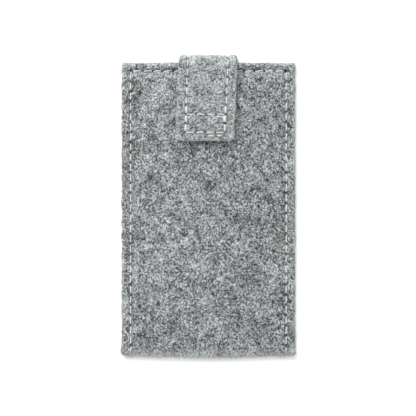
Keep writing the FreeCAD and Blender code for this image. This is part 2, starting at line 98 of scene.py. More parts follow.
STRAP_HALF = TAB_HIGH[0]
STRAP_SEAM_X = STRAP_HALF - 5.0
STRAP_BEND = BRIDGE_HIGH[1] - FELT / 2 - MOUTH
TAB_LEVEL = TAB_HIGH[2] - FELT / 2
TAB_SKEW = 2.0
TAB_DROOP = 0.9
END_LIFT = 0.5
TAB_CORNER = 2.6
STRAP_INNER = FELT - 0.04
STRAP_SHEET_START = 400
BOX_LENGTH = 9.8
END_INSET = 4.7

LOOP_THICK = 0.5
LOOP_SUNK = 0.1
LOOP_COUNT = 900
HOOK_THICK = 0.35
HOOK_STEM = 0.12
HOOK_BEND = 0.14
HOOK_ROWS = 12
HOOK_COLUMNS = 21
PATCH_SKEW = -0.9 * TAB_SKEW

THREAD_RADIUS = 0.31
THREAD_SEAT = 0.2
DEEPEST = 1.05
NEEDLE_DIVE = -1.45
BOBBIN_SEAT = 0.2
BOBBIN_DIVE = -0.4
DIVE_START = 1.35
DIVE_END = 0.6
HOLE_LONG = 0.8
HOLE_WIDE = 0.55
PLY_TURN = 1.7
POINTS_PER_STITCH = 18

FIBRE_RADIUS = 0.03
SIDE_FIBRES = 2000
MOUTH_FIBRES = 900
FOLD_FIBRES = 4000
FRONT_FIBRES = 2000
STRAP_FIBRES = 700
STRAP_END_FIBRES = 300
STRAP_EDGE_FIBRES_PER_MM = 14
FLOOR_CLEAR = 0.05
FLOOR_LEVEL = -0.13


def smoothstep(value, start=0.0, end=1.0):
    t = np.clip((value - start) / (end - start), 0, 1)
    return t * t * (3 - 2 * t)


def unit(vectors):
    return vectors / np.linalg.norm(vectors, axis=-1, keepdims=True)


def waves(seed, count, shortest, longest):
    """A smooth random height over a flat sheet, of unit spread: sine waves between two wavelengths."""
    draw = random.Random(seed)
    terms = []
    for _ in range(count):
        number = 2 * math.pi / draw.uniform(shortest, longest)
        angle = draw.uniform(0, 2 * math.pi)
        terms.append((number * math.cos(angle), number * math.sin(angle), draw.uniform(0, 2 * math.pi)))

    def height(x, s):
        return math.sqrt(2 / count) * sum(np.sin(a * x + b * s + c) for a, b, c in terms)

    return height


# -------- seams


@dataclass
class Run:
    """A straight run of stitches on a flat sheet, along x or along s."""

    along: str
    at: float
    start: float
    end: float
    count: int
    valley: float = 0.25
    width: float = 1.1
    groove: float = 0.15
    hole: float = 0.75
    sink: float = 0.0

    @property
    def pitch(self):
        return (self.end - self.start) / self.count

    def split(self, x, s):
        """Distances along and across the run of points on the sheet."""
        return (x, s - self.at) if self.along == "x" else (s, x - self.at)

    def relief(self, x, s):
        """How deep the run draws the felt in."""
        along, across = self.split(x, s)
        phase = (along - self.start) / self.pitch
        length = abs(self.pitch)
        outside = np.maximum(np.maximum(-phase, phase - self.count), 0) * length
        fade = np.exp(-((outside / 1.3) ** 2))
        wave = 0.85 + 0.15 * np.cos(2 * math.pi * phase)
        valley = self.valley * wave * np.exp(-((across / self.width) ** 2))
        groove = self.groove * np.exp(-((across / 0.5) ** 2))
        return np.minimum(fade * (valley + groove) + self.hole * self.holes(x, s), DEEPEST)

    @property
    def floor(self):
        """How deep the thread's bed lies in the middle of a stitch."""
        return 0.7 * self.valley + self.groove

    def holes(self, x, s):
        """From 0 to 1, how close points lie to a needle hole."""
        along, across = self.split(x, s)
        phase = (along - self.start) / self.pitch
        nearest = np.clip(np.round(phase), 0, self.count)
        to_hole = (phase - nearest) * self.pitch
        return np.exp(-((to_hole / HOLE_LONG) ** 2) - (across / HOLE_WIDE) ** 2)

    def flat(self, steps):
        """Flat coordinates at a distance along the run, counted in stitches, moved sideways in mm."""
        stitches, aside = steps
        along = self.start + stitches * self.pitch
        return (along, self.at + aside) if self.along == "x" else (self.at + aside, along)


def drawn_in(runs, x, s):
    """The relief and the hole shade that several runs give together."""
    depth = np.zeros(np.shape(x))
    shade = np.zeros(np.shape(x))
    for run in runs:
        depth = np.maximum(depth, run.relief(x, s))
        shade = np.maximum(shade, run.holes(x, s))
    return depth, shade


# -------- the pouch's folded sheet

FOLD_LENGTH = math.pi * FELT
PANEL = MOUTH - FOLD
BACK_END = PANEL
FRONT_START = PANEL + FOLD_LENGTH
SHEET_LENGTH = 2 * PANEL + FOLD_LENGTH

pouch_ripple = waves(3, 14, 22, 60)
pouch_lumps = waves(5, 40, 2.2, 6.5)
edge_waves = waves(8, 24, 2.6, 14)


def gap_height(y):
    """The height inside the pouch along its middle line."""
    rise = np.sin(math.pi / 2 * np.clip((y - FOLD) / BELLY_START, 0, 1))
    fall = 1 - np.cos(math.pi / 2 * np.clip((y - MOUTH + BELLY_END) / BELLY_END, 0, 1))
    return BOTTOM_GAP + (BELLY_GAP - BOTTOM_GAP) * rise - (BELLY_GAP - MOUTH_GAP) * fall


def across_dome(x):
    """The dome's share of its middle height, from 1 in the middle to 0 at the side seams."""
    return np.clip(1 - (x / HOLLOW_X) ** 2, 0, 1) ** DOME_POWER


def hem_draw(y):
    """How far the mouth seam draws the front down, fading slowly towards the belly."""
    away = np.maximum(SEAM_Y - y, 0)
    lip = np.exp(-((np.maximum(y - SEAM_Y, 0) / 1.9) ** 2))
    return (1.5 * np.exp(-away / 11) + 1.2 * np.exp(-away / 3.2)) * (0.35 + 0.65 * lip)


def front_height(x, y):
    """The front's outer face, domed over the hollow and with rounded cut edges."""
    dome = across_dome(x)
    height = gap_height(y) * dome - hem_draw(y) * np.minimum(1, 0.2 + 1.2 * dome)
    soft = smoothstep(y, FOLD, FOLD + 8)
    height = height - 0.4 * smoothstep(y, MOUTH - 1.9, MOUTH)
    height = height - 0.3 * smoothstep(np.abs(x), HALF_WIDTH - 1.5, HALF_WIDTH)
    return 2 * FELT + height + 0.09 * soft * (0.4 + 0.6 * dome) * pouch_ripple(x, y)


def back_height(x, y):
    """The underside, raised where it makes room for the strap's anchor."""
    ramp = 5.0
    side = STRAP_HALF + 0.5
    foot = ANCHOR_LOW[1] - 0.5
    room = (1 - smoothstep(np.abs(x), side, side + ramp)) * smoothstep(y, foot - ramp, foot)
    return (FELT + LAYER_GAP) * room + 0.05 * (1 + 0.5 * pouch_ripple(x, -y))


def pouch_point(x, s):
    """Places flat points of the pouch's outer face."""
    bottom = (2 * FELT + gap_height(FOLD) * across_dome(x)) / 2
    turn = np.clip((s - BACK_END) / FOLD_LENGTH, 0, 1) * math.pi
    reach = FELT + 0.35 + 0.9 * across_dome(x)
    y_fold = FOLD - reach * np.sin(turn)
    z_fold = bottom - bottom * np.cos(turn)
    y_back = MOUTH - s
    y_front = FOLD + s - FRONT_START
    on_back = s < BACK_END
    on_front = s > FRONT_START
    y = np.where(on_back, y_back, np.where(on_front, y_front, y_fold))
    z = np.where(on_back, back_height(x, y_back), np.where(on_front, front_height(x, y_front), z_fold))
    return np.stack([flared(x, y, s), y, z], -1)


def flared(x, y, s):
    """X with the flange's outline: an ear beside the fold, round corners and a slightly uneven cut."""
    flange = np.clip((np.abs(x) - SEAM_X) / (HALF_WIDTH - SEAM_X), 0, 1)
    low = np.clip((FOLD - 0.75 - y) / (FELT - 0.4), 0, 1)
    high = np.clip((y - MOUTH + 1.2) / 1.2, 0, 1)
    round_off = 1.1 * (1 - np.sqrt(1 - low**2)) + 1.2 * (1 - np.sqrt(1 - high**2))
    ear = 0.6 * np.exp(-(((y - FOLD - 0.9) / 2.0) ** 2))
    uneven = 0.17 * edge_waves(s, np.sign(x) * 40)
    return x + np.sign(x) * flange * (ear + uneven - round_off)


class Cloth:
    """A felt sheet laid in space, by a function from its flat coordinates to its outer face."""

    def __init__(self, place, side):
        self.place = place
        self.side = side

    def normals(self, x, s):
        """Unit normals of the outer face, from small steps along x and s."""
        step = 0.05
        along_x = self.place(x + step, s) - self.place(x - step, s)
        along_s = self.place(x, s + step) - self.place(x, s - step)
        return unit(self.side * np.cross(along_x, along_s))


POUCH = Cloth(pouch_point, 1)


# -------- the strap's sheet

strap_ripple = waves(13, 10, 14, 40)
strap_lumps = waves(17, 30, 2.0, 5.5)
STRAP_STEP = 0.2
STRAP_ROW_STEP = 0.62
SOFTENING = 5


def strap_line():
    """The strap's middle line from the sewn end, over the mouth and down to the free end, as Y and Z."""
    turn = np.radians(np.linspace(-90, 90, 61))
    low = turn[turn <= 0]
    high = turn[turn >= 0]
    radius = STRAP_BEND
    low_centre = FELT / 2 + radius
    high_centre = BRIDGE_HIGH[2] - FELT / 2 - radius
    run = np.linspace(MOUTH, TAB_LOW[1], 60)[1:]
    climb = TAB_LEVEL - high_centre - radius
    level = high_centre + radius + climb * smoothstep(MOUTH - run, 0, 27)
    y = [np.linspace(ANCHOR_LOW[1], MOUTH, 60)[:-1]]
    z = [np.full(59, FELT / 2)]
    y += [MOUTH + radius * np.cos(low), MOUTH + radius * np.cos(high)]
    z += [low_centre + radius * np.sin(low), high_centre + radius * np.sin(high)]
    y.append(run)
    z.append(level)
    return np.concatenate(y), np.concatenate(z)


def resample(y, z, step):
    """The same line at even steps, and the length up to each point."""
    length = np.concatenate([[0], np.cumsum(np.hypot(np.diff(y), np.diff(z)))])
    even = np.linspace(0, length[-1], int(length[-1] / step) + 1)
    return even, np.interp(even, length, y), np.interp(even, length, z)


def softened(values, reach):
    """A running mean that keeps both ends in place."""
    before = 2 * values[0] - values[reach:0:-1]
    after = 2 * values[-1] - values[-2 : -reach - 2 : -1]
    padded = np.concatenate([before, values, after])
    kernel = np.ones(2 * reach + 1) / (2 * reach + 1)
    return np.convolve(padded, kernel, "valid")


LINE_S, LINE_Y, LINE_Z = resample(*strap_line(), STRAP_STEP)
LINE_Y = softened(LINE_Y, SOFTENING)
LINE_Z = softened(LINE_Z, SOFTENING)
STRAP_LENGTH = LINE_S[-1]
middle_z = (BRIDGE_LOW[2] + BRIDGE_HIGH[2]) / 2
RISER_S = float(LINE_S[np.argmin(np.abs(LINE_Z - middle_z) + 10 * (LINE_Y < MOUTH))])


def strap_across(x, s, flange):
    """Where flat points lie across the strap, with its uneven edges, waist, round corners and skew."""
    uneven = 0.15 * edge_waves(s, np.sign(x) * 90) * flange
    tucked = 1.5 * np.exp(-((np.abs(s - RISER_S - 2) / 5.5) ** 3)) * flange**2
    corner = np.clip((s - STRAP_LENGTH + TAB_CORNER) / (TAB_CORNER - 0.2), 0, 1)
    round_off = 2.4 * (1 - np.sqrt(1 - corner**2)) * flange
    skew = TAB_SKEW * np.clip((s - RISER_S) / (STRAP_LENGTH - RISER_S), 0, 1)
    return x + np.sign(x) * (uneven - tucked - round_off) - skew


def strap_lift(x, s, on_tab):
    """How far the outer face lies from the strap's middle line, with slightly curled edges."""
    ripple = 0.1 * on_tab * strap_ripple(x, s)
    strip = np.exp(-(((np.abs(x) - STRAP_SEAM_X - 3.0) / 1.9) ** 2))
    curl = strip * (0.25 * on_tab + 0.4 * np.exp(-(((s - RISER_S) / 5) ** 2)))
    return FELT / 2 - 0.02 + ripple + curl


def strap_point(x, s):
    """Places flat points of the strap's outer face."""
    y = np.interp(s, LINE_S, LINE_Y)
    z = np.interp(s, LINE_S, LINE_Z)
    dy = np.interp(s + 0.3, LINE_S, LINE_Y) - np.interp(s - 0.3, LINE_S, LINE_Y)
    dz = np.interp(s + 0.3, LINE_S, LINE_Z) - np.interp(s - 0.3, LINE_S, LINE_Z)
    long = np.hypot(dy, dz) + 1e-9
    on_tab = smoothstep(s, RISER_S, RISER_S + 14)
    droop = TAB_DROOP * on_tab * (x / STRAP_HALF) ** 2
    droop = droop - END_LIFT * smoothstep(s, STRAP_LENGTH - 8, STRAP_LENGTH)
    flange = np.clip((np.abs(x) - STRAP_SEAM_X) / (STRAP_HALF - STRAP_SEAM_X), 0, 1)
    across = strap_across(x, s, flange)
    lift = strap_lift(x, s, on_tab)
    return np.stack([across, y + lift * dz / long, z - lift * dy / long - droop], -1)


STRAP = Cloth(strap_point, -1)


# -------- building meshes


def new_object(name, material, points, faces, smooth=True):
    """A mesh object from points in millimetres."""
    mesh = bpy.data.meshes.new(name)
    mesh.from_pydata((np.asarray(points) * MM).tolist(), [], faces)
    mesh.materials.append(material)
    mesh.polygons.foreach_set("use_smooth", [smooth] * len(mesh.polygons))
    made = bpy.data.objects.new(name, mesh)
    bpy.context.scene.collection.objects.link(made)
    return made


def outward(made):
    """Turns every face of a closed mesh outwards."""
    work = bmesh.new()
    work.from_mesh(made.data)
    bmesh.ops.recalc_face_normals(work, faces=work.faces)
    work.to_mesh(made.data)
    work.free()


def mark(made, name, values):
    """Gives each point of a mesh a value or a vector."""
    kind, part = ("FLOAT_VECTOR", "vector") if np.ndim(values) == 2 else ("FLOAT", "value")
    attribute = made.data.attributes.new(name, kind, "POINT")
    attribute.data.foreach_set(part, np.asarray(values, np.float32).ravel())


def grid_faces(rows, columns, first, closed=False):
    """Quads of a grid of points from index first on. A closed grid's last column joins its first."""
    wide = columns if closed else columns - 1
    return [
        (
            first + j * columns + i,
            first + j * columns + (i + 1) % columns,
            first + (j + 1) * columns + (i + 1) % columns,
            first + (j + 1) * columns + i,
        )
        for j in range(rows - 1)
        for i in range(wide)
    ]


def edge_loop(rows, columns):
    """Row and column numbers round a grid's edge."""
    top = [(0, i) for i in range(columns)]
    right = [(j, columns - 1) for j in range(1, rows)]
    bottom = [(rows - 1, i) for i in range(columns - 2, -1, -1)]
    left = [(j, 0) for j in range(rows - 2, 0, -1)]
    return np.array(top + right + bottom + left)


# how deep in the felt's thickness the rings of points round a cut edge lie
RIM = (0.08, 0.25, 0.5, 0.75, 0.92)


def slab_faces(rows, columns, loop):
    """Faces of a slab: its two grids, the rings of its rim, and the strips that join them."""
    size = rows * columns
    first_ring = 2 * size
    last_ring = first_ring + (len(RIM) - 1) * len(loop)
    faces = grid_faces(rows, columns, 0) + grid_faces(rows, columns, size)
    faces += grid_faces(len(RIM), len(loop), first_ring, closed=True)
    for grid, ring in ((0, first_ring), (size, last_ring)):
        numbers = grid + loop[:, 0] * columns + loop[:, 1]
        for k in range(len(loop)):
            after = (k + 1) % len(loop)
            faces.append((int(numbers[k]), int(numbers[after]), ring + after, ring + k))
    return faces


def at_depth(flat, depth):
    """Flat points with the depth below the outer face as a third coordinate."""
    depths = np.full((*flat.shape[:-1], 1), depth)
    return np.concatenate([flat, depths], -1).reshape(-1, 3)


def felt_slab(name, material, outer, inner, flat, shade, pale, bulge, seed):
    """A closed slab between two grids of points, with rounded and slightly fibrous cut edges."""
    rows, columns = outer.shape[:2]
    draw = np.random.RandomState(seed)
    loop = edge_loop(rows, columns)
    at = (loop[:, 0], loop[:, 1])
    inward = (np.clip(loop[:, 0], 1, rows - 2), np.clip(loop[:, 1], 1, columns - 2))
    out = unit(outer[at] - outer[inward])
    flat_out = unit(flat[at] - flat[inward])
    points = [outer.reshape(-1, 3), inner.reshape(-1, 3)]
    flats = [at_depth(flat, 0.0), at_depth(flat, FELT)]
    for share in RIM:
        swell = bulge * math.sqrt(1 - (2 * share - 1) ** 2)
        swell = swell + draw.uniform(-0.05, 0.05, (len(loop), 1))
        points.append(outer[at] + (inner[at] - outer[at]) * share + out * swell)
        flats.append(at_depth(flat[at] + flat_out * swell, FELT * share))
    faces = slab_faces(rows, columns, loop)
    made = new_object(name, material, np.concatenate(points), faces)
    size = rows * columns
    rim = len(RIM) * len(loop)
    mark(made, "sheet", np.concatenate(flats))
    # painted shade in the needle holes
    mark(made, "holes", np.concatenate([shade.ravel(), np.zeros(size + rim)]))
    # the rim's rings get the full painted highlight of a cut edge
    mark(made, "pale", np.concatenate([pale.ravel(), np.zeros(size), np.ones(rim)]))
    outward(made)
    return made


def tube_rings(line, up, radius, around):
    """Rings of points round a line, at these angles and this distance from it."""
    tangent = unit(np.gradient(line, axis=0))
    side = unit(np.cross(tangent, up))
    lift = np.cross(side, tangent)
    sideways = np.cos(around)[None, :, None] * side[:, None]
    upward = np.sin(around)[None, :, None] * lift[:, None]
    return line[:, None] + radius * (sideways + upward)


def joined(tubes):
    """Points and faces of several tubes with closed ends, each given as its rings of points."""
    points, faces = [], []
    first = 0
    for tube in tubes:
        rings, sides = tube.shape[:2]
        last = first + (rings - 1) * sides
        points.append(tube.reshape(-1, 3))
        faces += grid_faces(rings, sides, first, closed=True)
        faces.append(tuple(range(first + sides - 1, first - 1, -1)))
        faces.append(tuple(range(last, last + sides)))
        first = last + sides
    return np.concatenate(points), faces


def twisted_threads(lines, seed):
    """Points and faces of two-ply threads, from lines with their up directions and thicknesses."""
    around = np.linspace(0, 2 * math.pi, 10, endpoint=False)
    draw = random.Random(seed)
    tubes = []
    for line, up, thick in lines:
        length = np.concatenate([[0], np.cumsum(np.linalg.norm(np.diff(line, axis=0), axis=1))])
        twist = (length / PLY_TURN * 2 * math.pi + draw.uniform(0, 6))[:, None]
        radius = thick * (0.68 + 0.32 * np.abs(np.cos(around - twist)))
        taper = np.ones(len(line))
        taper[[0, -1]] = 0.55
        radius = radius * taper[:, None]
        tubes.append(tube_rings(line, up, radius[..., None], around))
    return joined(tubes)


def bent_hairs(feet, shapes, thick, sides=4):
    """Points and faces of many small bent strands, each a foot and a list of offsets from it."""
    around = np.linspace(0, 2 * math.pi, sides, endpoint=False)
    up = (0.31, 0.83, 0.47)
    lines = [foot + np.asarray(offsets) for foot, offsets in zip(feet, shapes)]
    return joined([tube_rings(line, up, thick, around) for line in lines])


# -------- materials


def new_tree(name):
    """A new material, its node tree and its Principled shader."""
    material = bpy.data.materials.new(name)
    material.use_nodes = True
    return material, material.node_tree, material.node_tree.nodes["Principled BSDF"]


def feed(tree, node, inputs):
    """Gives a node values or links for its inputs, by name or number."""
    for key, value in dict(inputs).items():
        if isinstance(value, bpy.types.NodeSocket):
            tree.links.new(value, node.inputs[key])
        else:
            node.inputs[key].default_value = value


def add(tree, kind, inputs=(), **settings):
    """A new node with its settings and inputs."""
    node = tree.nodes.new("ShaderNode" + kind)
    for key, value in settings.items():
        setattr(node, key, value)
    feed(tree, node, inputs)
    return node


def calc(tree, operation, a, b=0.0, clamp=False):
    """One math node's result."""
    return add(tree, "Math", {0: a, 1: b}, operation=operation, use_clamp=clamp).outputs[0]


def noise(tree, place, scale, detail=0.0, distortion=0.0, shift=0.0):
    """Noise over the place, between 0 and 1, at so many features per mm."""
    moved = add(tree, "VectorMath", {0: place, 1: (shift, shift * 0.7, shift * 1.3)}, operation="ADD")
    inputs = {"Vector": moved.outputs[0], "Scale": scale, "Detail": detail, "Distortion": distortion}
    return add(tree, "TexNoise", inputs).outputs["Fac"]


def fibres(tree, place, scale, width, shift, distortion=0.6):
    """Thin winding lines, from 0 to 1, where the noise crosses its middle."""
    field = noise(tree, place, scale, 0.0, distortion, shift)
    away = calc(tree, "ABSOLUTE", calc(tree, "SUBTRACT", field, 0.5))
    line = calc(tree, "SUBTRACT", 1.0, calc(tree, "DIVIDE", away, width), clamp=True)
    return calc(tree, "POWER", line, 1.3)


def summed(tree, base, terms):
    """base plus each term's value times its weight."""
    total = base
    for value, weight in terms:
        total = add(tree, "Math", {0: value, 1: weight, 2: total}, operation="MULTIPLY_ADD").outputs[0]
    return total


def grey(tree, value, tint):
    """A grey of this value, tinted."""
    inputs = {k: calc(tree, "MULTIPLY", value, part) for k, part in enumerate(tint)}
    return add(tree, "CombineColor", inputs).outputs[0]


def bumps(tree, height, strength, depth):
    """A shading normal with bumps from this height, of a depth in mm."""
    inputs = {"Height": height, "Strength": strength, "Distance": depth * MM}
    return add(tree, "Bump", inputs).outputs[0]


@dataclass
class Layer:
    """One layer of the felt's pattern, with its weights in the colour and in the bumps."""

    scale: float
    shift: float
    tone: float
    bump: float = 0.0
    width: float = 0.09
    detail: float = 0.0


FIBRE_LAYERS = [
    Layer(scale=0.55, shift=11.0, tone=0.25, bump=0.5),
    Layer(scale=1.05, shift=47.0, tone=0.21, bump=0.4, width=0.10),
    Layer(scale=0.50, shift=83.0, tone=-0.33, bump=-0.5),
    Layer(scale=1.0, shift=131.0, tone=-0.285, bump=-0.3),
]
CLOUD_LAYERS = [
    Layer(scale=2.0, shift=171.0, tone=0.52, bump=0.6, detail=2.0),
    Layer(scale=0.17, shift=211.0, tone=0.42, detail=3.0),
    Layer(scale=0.035, shift=251.0, tone=0.04, detail=1.0),
]


def felt_pattern(tree, place, contrast):
    """Weighted terms of the felt's colour and of its bumps: fibres over soft clouds."""
    tones, heights = [], []
    for layer in FIBRE_LAYERS:
        value = fibres(tree, place, layer.scale, layer.width, layer.shift)
        tones.append((value, layer.tone * contrast))
        heights.append((value, layer.bump))
    for layer in CLOUD_LAYERS:
        value = noise(tree, place, layer.scale, layer.detail, shift=layer.shift)
        tones.append((calc(tree, "SUBTRACT", value, 0.5), layer.tone * contrast))
        heights.append((value, layer.bump))
    return tones, [term for term in heights if term[1]]


def felt_material(name, tone, contrast, grain):
    """Pressed wool, with painted shade in the needle holes and a painted highlight on folds and cut
    edges.
    """
    material, tree, shader = new_tree(name)
    sheet = add(tree, "Attribute", attribute_name="sheet").outputs["Vector"]
    holes = add(tree, "Attribute", attribute_name="holes").outputs["Fac"]
    pale = add(tree, "Attribute", attribute_name="pale").outputs["Fac"]
    place = add(tree, "VectorMath", {0: sheet, 1: grain}, operation="MULTIPLY").outputs[0]
    tones, heights = felt_pattern(tree, place, contrast)
    # the pale attribute adds a painted highlight to the felt's tone
    lit = calc(tree, "MAXIMUM", summed(tree, tone, [*tones, (pale, 0.1)]), 0.04)
    # painted shade: the tone is darkened in the needle holes
    open_share = calc(tree, "SUBTRACT", 1.0, calc(tree, "MULTIPLY", holes, 0.85))
    value = calc(tree, "MAXIMUM", calc(tree, "MULTIPLY", lit, open_share), 0.02)
    looks = {
        "Base Color": grey(tree, value, (0.945, 1.0, 1.015)),
        "Normal": bumps(tree, summed(tree, 0.0, heights), 0.6, 0.15),
        "Roughness": 0.95,
        "Specular IOR Level": 0.15,
        "Sheen Weight": 0.7,
        "Sheen Roughness": 0.4,
    }
    feed(tree, shader, looks)
    return material


def thread_material():
    """Off-white spun thread with fine lengthwise fibres."""
    material, tree, shader = new_tree("white_thread")
    place = add(tree, "TexCoord").outputs["Object"]
    tint = noise(tree, place, 1.2 / MM, 2.0)
    fine = noise(tree, place, 6.0 / MM, 1.0)
    looks = {
        "Base Color": grey(tree, summed(tree, 0.54, [(tint, 0.25), (fine, 0.18)]), (1.0, 1.0, 0.985)),
        "Normal": bumps(tree, fine, 0.4, 0.08),
        "Roughness": 0.65,
        "Specular IOR Level": 0.3,
        "Sheen Weight": 0.2,
    }
    feed(tree, shader, looks)
    return material


def tape_material(name, value, roughness):
    """Dark woven tape under hooks or loops."""
    material, tree, shader = new_tree(name)
    place = add(tree, "TexCoord").outputs["Object"]
    weave = noise(tree, place, 2.2 / MM, 2.0)
    wide = noise(tree, place, 0.3 / MM, 1.0)
    shown = summed(tree, value * 0.4, [(weave, value * 0.9), (wide, value * 0.4)])
    looks = {
        "Base Color": grey(tree, shown, (0.98, 1.0, 1.03)),
        "Normal": bumps(tree, weave, 0.5, 0.1),
        "Roughness": roughness,
        "Specular IOR Level": 0.35,
    }
    feed(tree, shader, looks)
    return material


def fibre_material():
    """Single wool fibres, each dark, grey or nearly white."""
    material, tree, shader = new_tree("loose_fibre")
    pale = add(tree, "Attribute", attribute_name="pale").outputs["Fac"]
    place = add(tree, "TexCoord").outputs["Object"]
    value = summed(tree, 0.2, [(pale, 0.5), (noise(tree, place, 3 / MM), 0.1)])
    looks = {
        "Base Color": grey(tree, value, (0.98, 1.0, 1.01)),
        "Roughness": 0.7,
        "Specular IOR Level": 0.3,
    }
    feed(tree, shader, looks)
    return material


POUCH_FELT = felt_material("grey_felt", tone=0.225, contrast=1.25, grain=(1.1, 1.0, 1.0))
STRAP_FELT = felt_material("strap_felt", tone=0.298, contrast=1.04, grain=(0.95, 1.1, 1.0))
THREAD = thread_material()
LOOP_TAPE = tape_material("loop_tape", value=0.06, roughness=0.85)
HOOK_TAPE = tape_material("hook_tape", value=0.05, roughness=0.55)
FIBRE = fibre_material()


# -------- the seams as runs


def front_s(y):
    return FRONT_START + y - FOLD


def back_s(y):
    return MOUTH - y


SIDE_STITCHES = 28
SEAM_END = 2.2
HEM_STITCHES = 15
UNDER = {"valley": 0.45, "sink": 0.22}


def side_runs(x):
    front = Run("s", x, FRONT_START - SEAM_END, front_s(SEAM_Y), SIDE_STITCHES)
    back = Run("s", x, BACK_END + SEAM_END, back_s(SEAM_Y), SIDE_STITCHES, **UNDER)
    return front, back


HEM_FRONT = Run("x", front_s(SEAM_Y), -MOUTH_SEAM_X, MOUTH_SEAM_X, HEM_STITCHES, valley=0.6, width=1.5)
HEM_BACK = Run("x", back_s(SEAM_Y), -MOUTH_SEAM_X, MOUTH_SEAM_X, HEM_STITCHES, **UNDER)

TAB_EDGE_STITCHES = 7
RISER_EDGE_STITCHES = 3
BOX_SIDE_STITCHES = 2
BOX_END_STITCHES = 4
ANCHOR_SIDE_STITCHES = 6


def strap_s(y, on_tab):
    """The strap's length coordinate at this Y, on the tab or on the anchor."""
    side = LINE_S > RISER_S if on_tab else LINE_S < RISER_S
    spots = LINE_S[side]
    return float(spots[np.argmin(np.abs(LINE_Y[side] - y))])


BOX_TOP = strap_s(TAB_LOW[1] + END_INSET + BOX_LENGTH, True)
BOX_FOOT = strap_s(TAB_LOW[1] + END_INSET, True)
ANCHOR_FOOT = strap_s(ANCHOR_LOW[1] + END_INSET, False)
ANCHOR_TOP = strap_s(SEAM_Y - 1.0, False)


def strap_edge_runs(x):
    """One edge's stitches: from the anchor's box up to the mouth, and on down to the tab's box."""
    back = Run("s", x, ANCHOR_TOP, RISER_S, RISER_EDGE_STITCHES, sink=0.15)
    front = Run("s", x, RISER_S, BOX_TOP, TAB_EDGE_STITCHES, valley=0.7, width=2.0, groove=0.1)
    return back, front


def box_runs(top, foot, sides, ends, x=STRAP_SEAM_X, **how):
    """The four runs of a box seam, in order round the box."""
    return [
        Run("x", top, -x, x, ends, **how),
        Run("s", x, top, foot, sides, **how),
        Run("x", foot, x, -x, ends, **how),
        Run("s", -x, foot, top, sides, **how),
    ]


PUFFED = {"valley": 0.9, "width": 1.6, "groove": 0.1}
TAB_BOX = box_runs(BOX_TOP, BOX_FOOT, BOX_SIDE_STITCHES, BOX_END_STITCHES, **PUFFED)
ANCHOR_BOX = box_runs(ANCHOR_TOP, ANCHOR_FOOT, ANCHOR_SIDE_STITCHES, BOX_END_STITCHES, **UNDER)


def stitched(run, cloth, under=0.0, slant=0.13, aside=0.0, seed=1, thick=THREAD_RADIUS):
    """The thread line of a run: over each stitch and down into each hole, on a face under mm lower."""
    draw = random.Random(seed)
    share = np.linspace(0, 1, POINTS_PER_STITCH, endpoint=False)
    rest = BOBBIN_SEAT if under else THREAD_SEAT - run.floor - run.sink
    low = BOBBIN_DIVE if under else NEEDLE_DIVE
    steps, lifts, sideways = [], [], []
    for k in range(run.count):
        lean = slant + draw.uniform(-0.06, 0.06)
        high = rest + draw.uniform(-0.04, 0.04)
        near = np.minimum(share, 1 - share) * abs(run.pitch)
        steps.append(k + share)
        lifts.append(low + (high - low) * smoothstep(near, DIVE_END, DIVE_START))
        sideways.append(aside + lean * (2 * share - 1) * smoothstep(near, 0, 0.5))
    steps = np.append(np.concatenate(steps), run.count)
    lifts = np.append(np.concatenate(lifts), low)
    sideways = np.append(np.concatenate(sideways), aside)
    x, s = np.broadcast_arrays(*run.flat((steps, sideways)))
    normal = cloth.normals(x, s) * (-1 if under else 1)
    points = cloth.place(x, s) + normal * (under + lifts)[:, None]
    return points, normal, thick


def thread_piece(name, lines, nodes, seed):
    """One piece of thread along several lines, in the place of these CAD nodes."""
    made = new_object(name, THREAD, *twisted_threads(lines, seed))
    outward(made)
    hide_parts(*nodes)
    return made


def fixed_thread(name, lines, node, seed, body):
    """A piece of thread that stays on one body, in the place of one CAD node."""
    made = thread_piece(name, lines, [node], seed)
    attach(made, body)


# -------- the pouch


def pouch_columns():
    """Places across the pouch, closer together near the side seams."""
    middle = np.linspace(-MOUTH_SEAM_X, MOUTH_SEAM_X, HEM_STITCHES * 6 + 1)
    near = SEAM_X + np.array([-0.33, 0.0, 0.33, 0.7, 1.3, 2.1, 2.9, 3.7, 4.2, 4.5])
    return np.concatenate([-near[::-1], middle, near])


def pouch_rows():
    """Places along the pouch's sheet, from the back's mouth edge round the fold to the front's."""
    panel = np.linspace(FOLD, SEAM_Y, SIDE_STITCHES * 6 + 1)
    hem = SEAM_Y + np.array([-0.4, 0.4, 0.9, 1.6, 2.3, 3.0, 3.6, 4.0])
    ys = np.sort(np.concatenate([panel, hem]))
    turn = np.linspace(BACK_END, FRONT_START, 18)[1:-1]
    return np.concatenate([back_s(ys[::-1]), turn, front_s(ys)])


def painted_hem_highlight(x, s):
    """A painted highlight on the bulge of the felt just below the mouth seam."""
    away = np.maximum(front_s(SEAM_Y) - s, 0)
    bulge = 1.05 * np.exp(-(((away - 2.3) / 1.8) ** 2))
    return bulge + 0.42 * np.exp(-((away / 10) ** 2)) * (away > 0.5) * across_dome(x)


def painted_pouch_highlight(x, s):
    """How strong the painted highlight is: on the bottom fold, on its cut edges and below the mouth
    seam.
    """
    fold = 2.2 * (1 - smoothstep(np.abs(s - (BACK_END + FRONT_START) / 2), 0.6, 4.6))
    side_cut = np.exp(-(((HALF_WIDTH - np.abs(x)) / 1.2) ** 2))
    mouth_cut = np.exp(-((np.minimum(s, SHEET_LENGTH - s) / 1.2) ** 2))
    return np.maximum(fold, np.minimum(side_cut + mouth_cut, 1)) + painted_hem_highlight(x, s)


